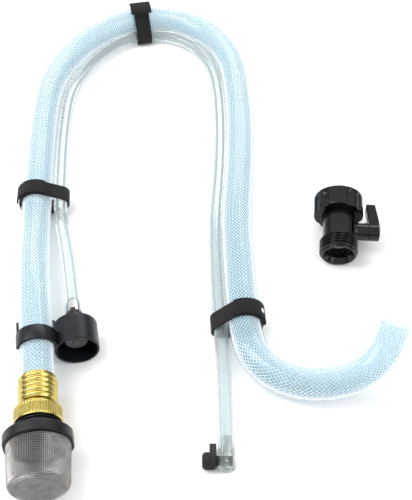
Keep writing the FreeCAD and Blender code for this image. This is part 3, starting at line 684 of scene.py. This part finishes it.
def make_ferrule():
    """The crimped ferrule: five rolled ridges, and a rolled rim."""
    ridges, length, base, crest = 5, 18.6, 11.35, 0.85
    hose_radius, bore, floor = 11.03, 7.8, 1.0
    pitch = (length - 1.0) / ridges
    outer = [(base - 0.3, 0.0), (base, 0.3)]
    for ridge in range(ridges):
        low = pitch * ridge + 0.5
        for k in range(13):
            t = k / 12
            outer.append((base + crest * math.sin(math.pi * t) ** 0.8, low + pitch * 0.88 * t))
    outer += [(base + 0.15, length - 0.35), (base - 0.1, length), (hose_radius, length)]
    profile = outer + [(hose_radius, floor), (bore, floor), (bore, 0.0)]
    shape = Shape()
    matrix = place(COUPLING.translation, -COUPLING_RUN)
    turned(shape, profile, matrix, 144)
    return shape.build("crimped_ferrule", "siphon", BRASS, ["brass_ferrule"], "brass", sharp=60)


def make_coupling_nut():
    """The swivel nut with its ribbed band between two plain collars."""
    length, radius = 12.0, 14.8
    profile = rounded([
        (9.35, 0.0, 0.2),
        (11.6, 0.0, 0.8),
        (13.4, 0.9, 1.2),
        (radius, 2.6, 0.7),
        (radius, length, 0.6),
        (13.6, length, 0.3),
        (13.6, 2.1, 0.1),
        (9.35, 2.1, 0.1),
    ], 0.3)
    profile = dense(profile, 0.35)
    ribs = 54

    def ribbed(angle, r, z):
        if r < radius - 0.05:
            return r
        fade = min(1.0, max(0.0, (z - 3.2) / 0.5), max(0.0, (10.9 - z) / 0.5))
        groove = 0.5 - 0.5 * math.cos(ribs * angle)
        return r - 0.3 * fade * groove**3

    shape = Shape()
    turned(shape, profile, shift(COUPLING, z=1.5 * MM), 432, ribbed)
    return shape.build("coupling_nut", "coupling_nut", BRASS, ["swivel_nut"], "brass", sharp=50)


# ---------------------------------------------------------------- strainer


def threaded(root, crest, low, high):
    """A reshape function that raises a garden-hose thread between two heights."""
    pitch = 2.209

    def radius(angle, r, z):
        if not low < z < high or r < root - 0.05:
            return r
        phase = ((z - low) / pitch - angle / TAU) % 1.0
        rise = min(1.0, max(0.0, 1.0 - abs(phase - 0.5) / 0.34) * 1.9)
        fade = min(1.0, (z - low) / pitch, (high - z) / (pitch * 0.6))
        return r + (crest - root) * rise * max(0.0, fade)

    return radius


THREAD_START = 8.0
STRAINER = shift(COUPLING, z=THREAD_START * MM)
NECK = 12.9
FLANGE = 7.3
RIM_GROOVE = NECK + FLANGE - 2.6


def make_strainer_base():
    """The strainer's threaded neck and its round flange, with two shallow wrench flats."""
    radius, bore, root = 21.3, 9.4, 12.2
    thread = rounded([
        (bore, 0.0),
        (root, 0.0, 0.3),
        (root, NECK - 0.6, 0.1),
        (bore, NECK - 0.6),
    ], 0.2)
    shape = Shape()
    turned(shape, dense(thread, 0.16), STRAINER, 128, threaded(12.2, 13.4, 0.3, NECK - 0.8))
    flange = rounded([
        (bore, NECK - 0.7, 0.2),
        (14.0, NECK - 0.2, 1.0),
        (16.6, NECK, 0.8),
        (radius, NECK, 1.3),
        (radius, NECK + FLANGE, 1.5),
        (19.1, NECK + FLANGE, 0.3),
        (19.1, RIM_GROOVE, 0.1),
        (bore, RIM_GROOVE, 0.1),
    ], 0.4, 6)

    def flats(angle, r, z):
        if r < 17.0:
            return r
        across = abs(math.cos(angle))
        return min(r, 20.6 / across) if across > 0.9 else r

    turned(shape, dense(flange, 0.5), STRAINER, 192, flats)
    return shape.build(
        "strainer_base_shell", "strainer", SATIN_BLACK, ["strainer_base"], "black_plastic", sharp=50
    )


CUP_RADIUS = 19.0


def cup_outline():
    """Points (r, z) down the side of the woven cup and round its bottom corner."""
    length, end, corner = 30.0, 18.1, 4.2
    slope = end - CUP_RADIUS
    made = [(CUP_RADIUS + slope * k / 24, (length - corner) * k / 24) for k in range(25)]
    for k in range(1, 13):
        angle = math.pi / 2 * k / 12
        out, down = corner * math.cos(angle), corner * math.sin(angle)
        made.append((end - corner + out, length - corner + down))
    return made


def spread_along(path, step):
    """Points at equal steps along a list of (r, z) points, with the outward normal of each."""
    made, left = [], 0.0
    for (r0, z0), (r1, z1) in zip(path, path[1:]):
        span = math.dist((r0, z0), (r1, z1))
        while left < span:
            t = left / span
            point = (r0 + (r1 - r0) * t, z0 + (z1 - z0) * t)
            made.append((point, ((z1 - z0) / span, (r0 - r1) / span)))
            left += step
        left -= span
    return made


def make_woven_cup():
    """The cup of woven wire: rings and lengthwise wires over and under each other, and an end."""
    pitch, wire, lift = 1.08, 0.2, 0.19
    shape = Shape()
    cup = shift(STRAINER, z=RIM_GROOVE * MM)
    stations = spread_along(cup_outline(), pitch)
    lengthwise = round(TAU * CUP_RADIUS / pitch / 2) * 2
    dent = random.Random(7)
    waves = [(dent.randint(2, 5), dent.uniform(0, TAU), dent.uniform(0.02, 0.07)) for _ in range(4)]

    def dented(angle, z):
        """A slight unevenness of the cup, stronger away from its rim."""
        strength = min(1.0, max(0.0, z - 5.0) / 12.0)
        return strength * sum(a * math.cos(n * angle + p + z * 0.15) for n, p, a in waves)

    def spot(angle, number, offset):
        (r, z), (nr, nz) = stations[number]
        r += nr * offset + dented(angle, z) * 0.8
        z += nz * offset
        return Vector((r * MM * math.cos(angle), r * MM * math.sin(angle), z * MM))

    section = round_section(wire * MM, 4)
    for wire_number in range(lengthwise):
        angle = TAU * wire_number / lengthwise
        side = Vector((-math.sin(angle), math.cos(angle), 0))
        spots = []
        for k in range(len(stations)):
            over = lift if (k + wire_number) % 2 else -lift
            nr, nz = stations[k][1]
            up = Vector((nr * math.cos(angle), nr * math.sin(angle), nz))
            spots.append((spot(angle, k, over), side, up))
        swept(shape, spots, section)
    for k in range(len(stations)):
        nr, nz = stations[k][1]
        spots = []
        for wire_number in range(lengthwise):
            angle = TAU * wire_number / lengthwise
            over = -lift if (k + wire_number) % 2 else lift
            up = Vector((nr * math.cos(angle), nr * math.sin(angle), nz))
            along_cup = Vector((nz * math.cos(angle), nz * math.sin(angle), -nr))
            spots.append((spot(angle, k, over), along_cup, up))
        swept(shape, spots, section, closed=True)
    shape.move(0, cup)
    end_height = stations[-1][0][1] - 0.05
    end_radius = stations[-1][0][0] + 0.25
    make_woven_disc(shape, cup, end_radius, end_height, pitch, wire, lift)
    return shape.build("woven_cup", "strainer", WIRE, ["strainer_mesh"], "steel_mesh", sharp=80)


def make_woven_disc(shape, cup, radius, height, pitch, wire, lift):
    """A round patch of square weave."""
    section = round_section(wire * MM, 4)
    half = int(radius / pitch)
    for row in range(-half, half + 1):
        reach = math.sqrt(max(0.0, radius**2 - (row * pitch) ** 2))
        cells = int(reach / pitch)
        if cells < 1:
            continue
        for family in (0, 1):
            spots = []
            for k in range(-cells, cells + 1):
                over = lift if (k + row + family) % 2 else -lift
                dome = 0.25 * (1 - ((k * k + row * row) * pitch**2) / radius**2)
                a, b = (k, row) if family == 0 else (row, k)
                point = Vector((a * pitch, b * pitch, height + dome + over)) * MM
                sideways = Vector((0, 1, 0)) if family == 0 else Vector((1, 0, 0))
                spots.append((point, sideways, UP))
            base = len(shape.points)
            swept(shape, spots, section)
            shape.move(base, cup)


# ---------------------------------------------------------------- priming cap

HOSE_FROM_CAP = (-24.65, 6.9)


def claw(shape, low, high, start, end):
    """One claw of the clip: a band round the hose from one angle to another, in degrees."""
    inner, outer = 11.15, 13.15
    middle = Vector((HOSE_FROM_CAP[0], HOSE_FROM_CAP[1], 0)) * MM
    steps = max(8, round(abs(end - start) / 3))
    section = soft_rectangle((outer - inner) * MM, (high - low) * MM, 0.55 * MM)
    spots = []
    for k in range(steps + 1):
        angle = math.radians(start + (end - start) * k / steps)
        out = Vector((math.cos(angle), math.sin(angle), 0))
        centre = middle + out * ((inner + outer) / 2 * MM) + UP * ((low + high) / 2 * MM)
        spots.append((centre, out, UP))
    shrink = {0: 0.55, 1: 0.9, steps - 1: 0.9, steps: 0.55}
    base = len(shape.points)
    swept(shape, spots, section, grow=lambda n: shrink.get(n, 1.0))
    shape.move(base, CAP)


def make_cap():
    """The priming cap: a round cup with a boss behind it, and two staggered claws round the hose."""
    boss, radius, bore = 7.0, 14.4, 12.7
    mouth = boss + 20.5
    profile = rounded([
        (3.4, 0.0, 0.2),
        (6.5, 0.0, 0.7),
        (6.5, boss, 0.8),
        (radius, boss, 2.0),
        (radius, mouth, 0.5),
        (bore + 0.2, mouth, 0.5),
        (bore, boss + 2.5, 1.0),
        (3.4, boss + 2.5, 0.2),
    ], 0.4, 6)
    shape = Shape()
    turned(shape, dense(profile, 2.0), CAP, 128)
    claw(shape, mouth - 11.0, mouth, -32, 172)
    claw(shape, boss - 5.0, boss + 6.0, 188, 340)
    return shape.build(
        "priming_cap_shell", "siphon", SLATE, ["priming_cap"], "slate_plastic", sharp=50
    )


def make_valve_disc():
    """The rubber flap in the cap's mouth, with its raised rim and centre button."""
    profile = rounded([
        (0.0, 0.0),
        (7.4, 0.0, 0.3),
        (7.3, 1.3, 0.5),
        (5.6, 1.6, 0.5),
        (2.6, 1.1, 0.4),
        (2.1, 2.1, 0.4),
        (0.0, 2.2),
    ], 0.3)
    seat = 19.3
    shape = Shape()
    turned(shape, profile, shift(CAP, z=seat * MM), 72)
    return shape.build(
        "valve_flap", "siphon", GREY_RUBBER, ["cap_valve_disc"], "grey_rubber", sharp=60
    )


def make_ear_clamp():
    """The stainless ear clamp on the air tube: a thin band and its pinched ear."""
    low, width, inner, outer = -8.6, 7.0, 5.04, 5.6
    profile = rounded([(inner, 0), (outer, 0), (outer, width), (inner, width)], 0.2, 3)
    shape = Shape()
    clamp = shift(CAP, z=low * MM)
    turned(shape, dense(profile, 1.5), clamp, 72)
    ear = [
        (-2.9, outer - 0.2),
        (-1.35, outer + 0.35),
        (-2.1, outer + 2.0),
        (-1.6, outer + 2.25),
        (1.6, outer + 2.25),
        (2.1, outer + 2.0),
        (1.35, outer + 0.35),
        (2.9, outer - 0.2),
    ]
    prism(shape, ear[::-1], 0.0, width, clamp, 0.25)
    return shape.build("ear_clamp", "siphon", STAINLESS, ["tube_ear_clamp"], "stainless", sharp=50)


# ---------------------------------------------------------------- straps


def belt(big, small, across, drop, steps=26):
    """Points and outward directions round a belt over two circles, in mm.

    The big circle is at the origin, and the small one at (across, -drop).
    """
    span = math.hypot(across, drop)
    lean = math.atan2(-drop, across)
    spread = math.acos((big - small) / span)
    made = []
    for (cx, cy), radius, start, stop, count in (
        ((0, 0), big, lean + spread, lean - spread + TAU, steps),
        ((across, -drop), small, lean - spread, lean + spread, steps // 2),
    ):
        for k in range(count + 1):
            angle = start + (stop - start) * k / count
            out = (math.cos(angle), math.sin(angle))
            made.append(((cx + radius * out[0], cy + radius * out[1]), out))
    return made


def strap_spots(points, matrix):
    """Turns flat (point, outward) pairs into spots to sweep a strap's section along."""
    turn = matrix.to_3x3()
    return [
        (matrix @ (Vector((*p, 0)) * MM), turn @ Vector((*out, 0)), turn @ UP)
        for p, out in points
    ]


def arc_points(radius, start, stop, steps, rise=0.0, curl=1.0):
    """Points and outward directions along an arc, in degrees, that rises off it towards its end."""
    made = []
    for k in range(steps + 1):
        t = k / steps
        angle = math.radians(start + (stop - start) * t)
        out = (math.cos(angle), math.sin(angle))
        reach = radius + rise * t**curl
        made.append(((reach * out[0], reach * out[1]), out))
    return made


def make_strap(run, share, across, drop, tail, skew=0.0):
    """A hook-and-loop strap: its band round hose and tube, and its tail lying over the band."""
    hose_radius, tube_radius = 11, 5
    thick, ease, width, corner = 1.6, 0.2, 12.7, 0.4
    a, b = HOSE_ROUTE[run], HOSE_ROUTE[run + 1]
    matrix = place(a + (b - a) * share, a - b)
    shape = Shape()
    band = soft_rectangle(thick * MM, width * MM, corner * MM)
    middle = ease + thick / 2
    loop = belt(hose_radius + middle, tube_radius + middle, across, drop)
    swept(shape, strap_spots(loop, matrix), band, closed=True)
    start, stop, rise = tail
    layer = arc_points(hose_radius + ease + thick * 1.45, start, stop, 22, rise, 3.0)
    spots = strap_spots(layer, matrix)
    turn = matrix.to_3x3()
    lean = [
        (p + turn @ UP * (skew * MM * k / len(spots)), s, u)
        for k, (p, s, u) in enumerate(spots)
    ]
    swept(shape, lean, soft_rectangle(thick * 0.8 * MM, (width - 0.5) * MM, corner * MM))
    return shape, matrix


def strap_head(shape, matrix, start, stop, width):
    """The strap's wide head over the band: a base layer and a narrower raised layer on it."""
    radius, layers = 14.25, ((1.0, 0.0), (0.5, 0.45))
    for thick, lift in layers:
        arc = arc_points(radius + lift, start + 4 * lift, stop - 4 * lift, 18)
        spots = strap_spots(arc, matrix)
        swept(shape, spots, soft_rectangle(thick * MM, (width - 3.0 * lift) * MM, 0.25 * MM))


def eyelet(matrix, angle):
    """The small white eyelet that is riveted through a strap."""
    shape = Shape()
    out = Vector((math.cos(math.radians(angle)), math.sin(math.radians(angle)), 0))
    turn = matrix.to_3x3()
    seat = place(matrix @ (out * (14.0 * MM)), turn @ out, turn @ UP)
    ring = rounded([(0.7, 0.0), (1.7, 0.0), (1.7, 0.55), (0.7, 0.55)], 0.2, 3)
    turned(shape, ring, seat, 32)
    return shape.build("strap_eyelet", "siphon", WHITE_PLASTIC, slot="white_plastic", sharp=60)


def make_straps():
    """The three straps, each with its own look."""
    left, _ = make_strap(3, 0.5, 16.75, 0.8, (60, 178, 0.5), skew=-1.6)
    left.build("strap_left_band", "siphon", STRAP, ["strap_left"], "strap_fabric", sharp=60)
    top, top_place = make_strap(9, 0.5, 15.26, 6.0, (50, 165, 0.4))
    strap_head(top, top_place, 58, 132, 17.5)
    top.build("strap_top_band", "siphon", STRAP, ["strap_top"], "strap_fabric", sharp=60)
    right, right_place = make_strap(18, 0.6, 15.2, 6.0, (60, 190, 0.4), skew=1.2)
    right.build("strap_right_band", "siphon", STRAP, ["strap_right"], "strap_fabric", sharp=60)
    eyelet(right_place, 150)


# ---------------------------------------------------------------- air tap


def make_tap():
    """The clear tap body, and the knurled knob with its pointer, on the plug's axis."""
    spigot, collar, radius, bore = 9.0, 12.5, 5.1, 2.0
    root = 3.4
    barbs = []
    for ring in range(2):
        low = 0.4 + ring * 3.0
        barbs += [(root - 0.3, low), (root + 0.35, low + 2.0), (root, low + 2.3)]
    profile = rounded([
        (bore, 0.0, 0.1),
        *[(r, z, 0.1) for r, z in barbs],
        (root, spigot, 0.05),
        (radius, spigot, 0.3),
        (radius, spigot + collar - 0.4, 0.5),
        (radius - 0.5, spigot + collar, 0.3),
        (bore, spigot + collar, 0.2),
    ], 0.2)
    shape = Shape()
    turned(shape, profile, shift(TAP, z=-spigot * MM), 72)
    shape.build("tap_body", "siphon", ACRYLIC, ["air_tap_body"], "clear_acrylic", sharp=50)
    side = UP.cross(TAP_RUN).normalized()
    plug_place = place(TAP.translation + TAP_RUN * (7.0 * MM), -side, -TAP_RUN)
    knob = Shape()
    low, long, wide = 6.0, 8.8, 5.3
    body = rounded([
        (0.0, low),
        (wide - 1.2, low, 0.4),
        (wide, low + 1.2, 0.4),
        (wide, low + long - 1.5, 0.6),
        (wide - 1.5, low + long, 0.6),
        (2.6, low + long, 0.3),
        (2.2, low + long - 0.5, 0.3),
        (0.0, low + long - 0.5),
    ], 0.3)

    def knurled(angle, r, z):
        if r < wide - 0.1:
            return r
        fade = min(1.0, max(0.0, (z - low - 1.5) / 0.4), max(0.0, (low + long - 2.0 - z) / 0.4))
        return r - 0.35 * fade * (0.5 - 0.5 * math.cos(24 * angle))

    turned(knob, dense(body, 0.4), plug_place, 240, knurled)
    half = 1.8
    outline = [
        (-half, 0.0),
        (half, 0.0),
        (half, 10.0),
        (half - 1.0, 11.2),
        (1.0 - half, 11.2),
        (-half, 10.0),
    ]
    prism(knob, outline, low, low + 4.2, plug_place, 0.5)
    knob.build("tap_knob", "air_tap", MATTE_BLACK, ["air_tap_knob"], "black_plastic", sharp=50)


# ---------------------------------------------------------------- shut-off valve


def make_valve_nut():
    """The valve's swivel nut, with eight scooped flutes in four pairs."""
    radius, length, bore = 17.6, 15.5, 13.6
    profile = rounded([
        (bore, 0.0, 0.4),
        (radius, 0.0, 1.1),
        (radius, length, 1.4),
        (11.4, length, 0.3),
        (11.4, 11.0, 0.1),
        (9.9, 11.0, 0.1),
        (9.9, 9.0, 0.1),
        (bore, 9.0, 0.1),
    ], 0.3, 5)
    centre, cutter, start = 20.7, 4.6, 5.6
    places = [math.radians(a + 90 * k) for k in range(4) for a in (68.4, 38.4)]

    def scooped(angle, r, z):
        if r < 15.5:
            return r
        above = max(0.0, start - z)
        if above >= cutter:
            return r
        size = math.sqrt(cutter**2 - above**2)
        for spot in places:
            turn = (angle - spot + math.pi) % TAU - math.pi
            across = centre * math.sin(turn)
            if abs(turn) < 0.5 and abs(across) < size:
                r = min(r, centre * math.cos(turn) - math.sqrt(size**2 - across**2))
        return r

    shape = Shape()
    turned(shape, dense(profile, 0.35), VALVE, 540, scooped)
    return shape.build(
        "valve_swivel_nut", "valve_swivel", GLOSS_BLACK, ["valve_nut"], "black_gloss", sharp=28
    )


def make_valve_body():
    """The valve's round body with its outlet thread, its bonnet and the small stop beside it."""
    start, shoulder, end = 11.3, 35.3, 48.5
    thread = threaded(12.2, 13.4, shoulder + 0.2, end - 0.5)
    profile = rounded([
        (9.5, start, 0.1),
        (11.0, start, 0.2),
        (11.0, shoulder - 0.5, 0.3),
        (12.2, shoulder, 0.3),
        (12.2, end, 0.5),
        (10.7, end, 0.3),
        (8.2, end - 3.5, 0.5),
        (8.2, 36.9, 0.1),
        (9.5, 36.9, 0.1),
    ], 0.2)
    shape = Shape()
    turned(shape, dense(profile, 0.16), VALVE, 144, thread)
    bonnet = rounded([
        (3.06, 10.0, 0.1),
        (7.4, 10.0, 0.1),
        (6.6, 11.2, 0.8),
        (6.15, 12.6, 1.0),
        (6.15, 21.0, 0.3),
        (3.06, 21.0, 0.2),
    ], 0.3)
    turned(shape, bonnet, LEVER, 96)
    stop = rounded([(0.0, 17.8), (1.2, 17.8, 0.1), (1.2, 20.4, 0.5), (0.0, 20.4)], 0.3)
    turned(shape, stop, LEVER @ Matrix.Translation((6.45 * MM, 0, 0)), 24)
    return shape.build("valve_shell", "valve", GLOSS_BLACK, ["valve_body"], "black_gloss", sharp=50)


def make_valve_handle():
    """The lever: a round hub with a slab that leans in towards the nut."""
    hub, thick, reach, lean, width = 6.15, 7.3, 21.0, 2.0, 10.0
    foot = 21.15
    shape = Shape()
    top = foot + thick
    dome = rounded([(0.0, foot), (hub, foot, 0.4), (hub, top, 0.9), (0.0, top)], 0.4, 5)
    turned(shape, dome, LEVER, 96)
    made = bmesh.new()
    rows = []
    for k in range(13):
        t = k / 12
        along_lever = reach * t
        dip = lean * max(0.0, (along_lever - hub - 1.0) / (reach - hub - 1.0))
        low, high = foot - dip, foot + thick - dip - 0.8 * t
        half = width / 2 - 0.4 * (1 - t)
        rows.append([
            made.verts.new((x * MM, y * MM, z * MM))
            for x, y, z in (
                (along_lever, -half, low),
                (along_lever, half, low),
                (along_lever, half, high),
                (along_lever, -half, high),
            )
        ])
    for before, after in zip(rows, rows[1:]):
        for i in range(4):
            j = (i + 1) % 4
            made.faces.new([before[i], before[j], after[j], after[i]])
    made.faces.new(rows[0][::-1])
    made.faces.new(rows[-1])
    bmesh.ops.recalc_face_normals(made, faces=made.faces)
    hard = [e for e in made.edges if e.calc_face_angle(0) > 0.7]
    bmesh.ops.bevel(made, geom=hard, offset=0.7 * MM, segments=4, profile=0.5, affect="EDGES")
    made.verts.index_update()
    shape.add_bmesh(made, LEVER)
    return shape.build(
        "valve_lever", "valve_lever", GLOSS_BLACK, ["valve_handle"], "black_gloss", sharp=50
    )


make_ferrule()
make_coupling_nut()
make_strainer_base()
make_woven_cup()
make_cap()
make_valve_disc()
make_ear_clamp()
make_straps()
make_tap()
make_valve_nut()
make_valve_body()
make_valve_handle()

for node, material in (
    ("brass_hose_stem", BRASS),
    ("hose_washer", RUBBER),
    ("strainer_mesh_ring", SATIN_BLACK),
    ("cap_barb_fitting", SATIN_BLACK),
    ("air_tap_plug", MATTE_BLACK),
    ("valve_ball", WHITE_PLASTIC),
    ("valve_seat_inlet", WHITE_PLASTIC),
    ("valve_seat_outlet", WHITE_PLASTIC),
    ("valve_stem", MATTE_BLACK),
    ("valve_stem_oring", RUBBER),
    ("valve_nut_washer", RUBBER),
    ("valve_tailpiece", GLOSS_BLACK),
):
    for number in range(len(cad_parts[node].material_slots)):
        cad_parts[node].material_slots[number].material = material

# ---------------------------------------------------------------- floor, light and camera


def make_floor():
    """A pale, flat, faintly uneven table top."""
    paint = Paint("pale_table")
    shade = paint.ramp(paint.noise(3.0, 3.0), [(0.3, (0.86, 0.86, 0.86)), (0.7, (0.89, 0.89, 0.89))])
    material = paint.finish(paint.skin({
        "Base Color": shade,
        "Roughness": 0.7,
        "Specular IOR Level": 0.2,
    }))
    mesh = bpy.data.meshes.new("table_top")
    reach = 6.0
    mesh.from_pydata(
        [(-reach, -reach, 0), (reach, -reach, 0), (reach, reach, 0), (-reach, reach, 0)],
        [],
        [(0, 1, 2, 3)],
    )
    mesh.materials.append(material)
    floor = bpy.data.objects.new("table_top", mesh)
    bpy.context.scene.collection.objects.link(floor)


def area_light(name, spot, size, power):
    """A rectangular lamp that faces the row's origin."""
    lamp = bpy.data.lights.new(name, "AREA")
    lamp.shape = "RECTANGLE"
    lamp.size, lamp.size_y = size
    lamp.energy = power
    holder = bpy.data.objects.new(name, lamp)
    holder.matrix_world = place(spot, spot)
    bpy.context.scene.collection.objects.link(holder)


def make_world():
    """A soft white studio room, darker near the horizon, for shiny things to reflect."""
    world = bpy.data.worlds.new("studio")
    world.use_nodes = True
    tree = world.node_tree
    spots = tree.nodes.new("ShaderNodeTexCoord")
    split = tree.nodes.new("ShaderNodeSeparateXYZ")
    ramp = tree.nodes.new("ShaderNodeValToRGB")
    tree.links.new(spots.outputs["Generated"], split.inputs[0])
    tree.links.new(split.outputs["Z"], ramp.inputs[0])
    ramp.color_ramp.elements[0].position = 0.05
    ramp.color_ramp.elements[0].color = (0.16, 0.17, 0.18, 1)
    ramp.color_ramp.elements[1].position = 0.55
    ramp.color_ramp.elements[1].color = (1.0, 1.0, 1.0, 1)
    back = tree.nodes["Background"]
    tree.links.new(ramp.outputs[0], back.inputs["Color"])
    back.inputs["Strength"].default_value = 1.0
    bpy.context.scene.world = world


make_floor()
area_light("key", (-0.75, -0.05, 1.0), (0.5, 1.1), 11)
area_light("fill", (0.9, -0.6, 0.9), (0.7, 0.9), 5)
area_light("back", (0.1, 1.1, 0.9), (1.4, 0.4), 8)
make_world()
bpy.context.scene.view_settings.view_transform = "Standard"

camera_data = bpy.data.cameras.new("camera")
camera_data.lens = 68.5
camera_data.sensor_width = 36.0
camera = bpy.data.objects.new("camera", camera_data)
camera.location = (0.0077, -0.4738, 0.5228)
camera.rotation_euler = (math.radians(40.0), 0, 0)
bpy.context.scene.collection.objects.link(camera)
bpy.context.scene.camera = camera
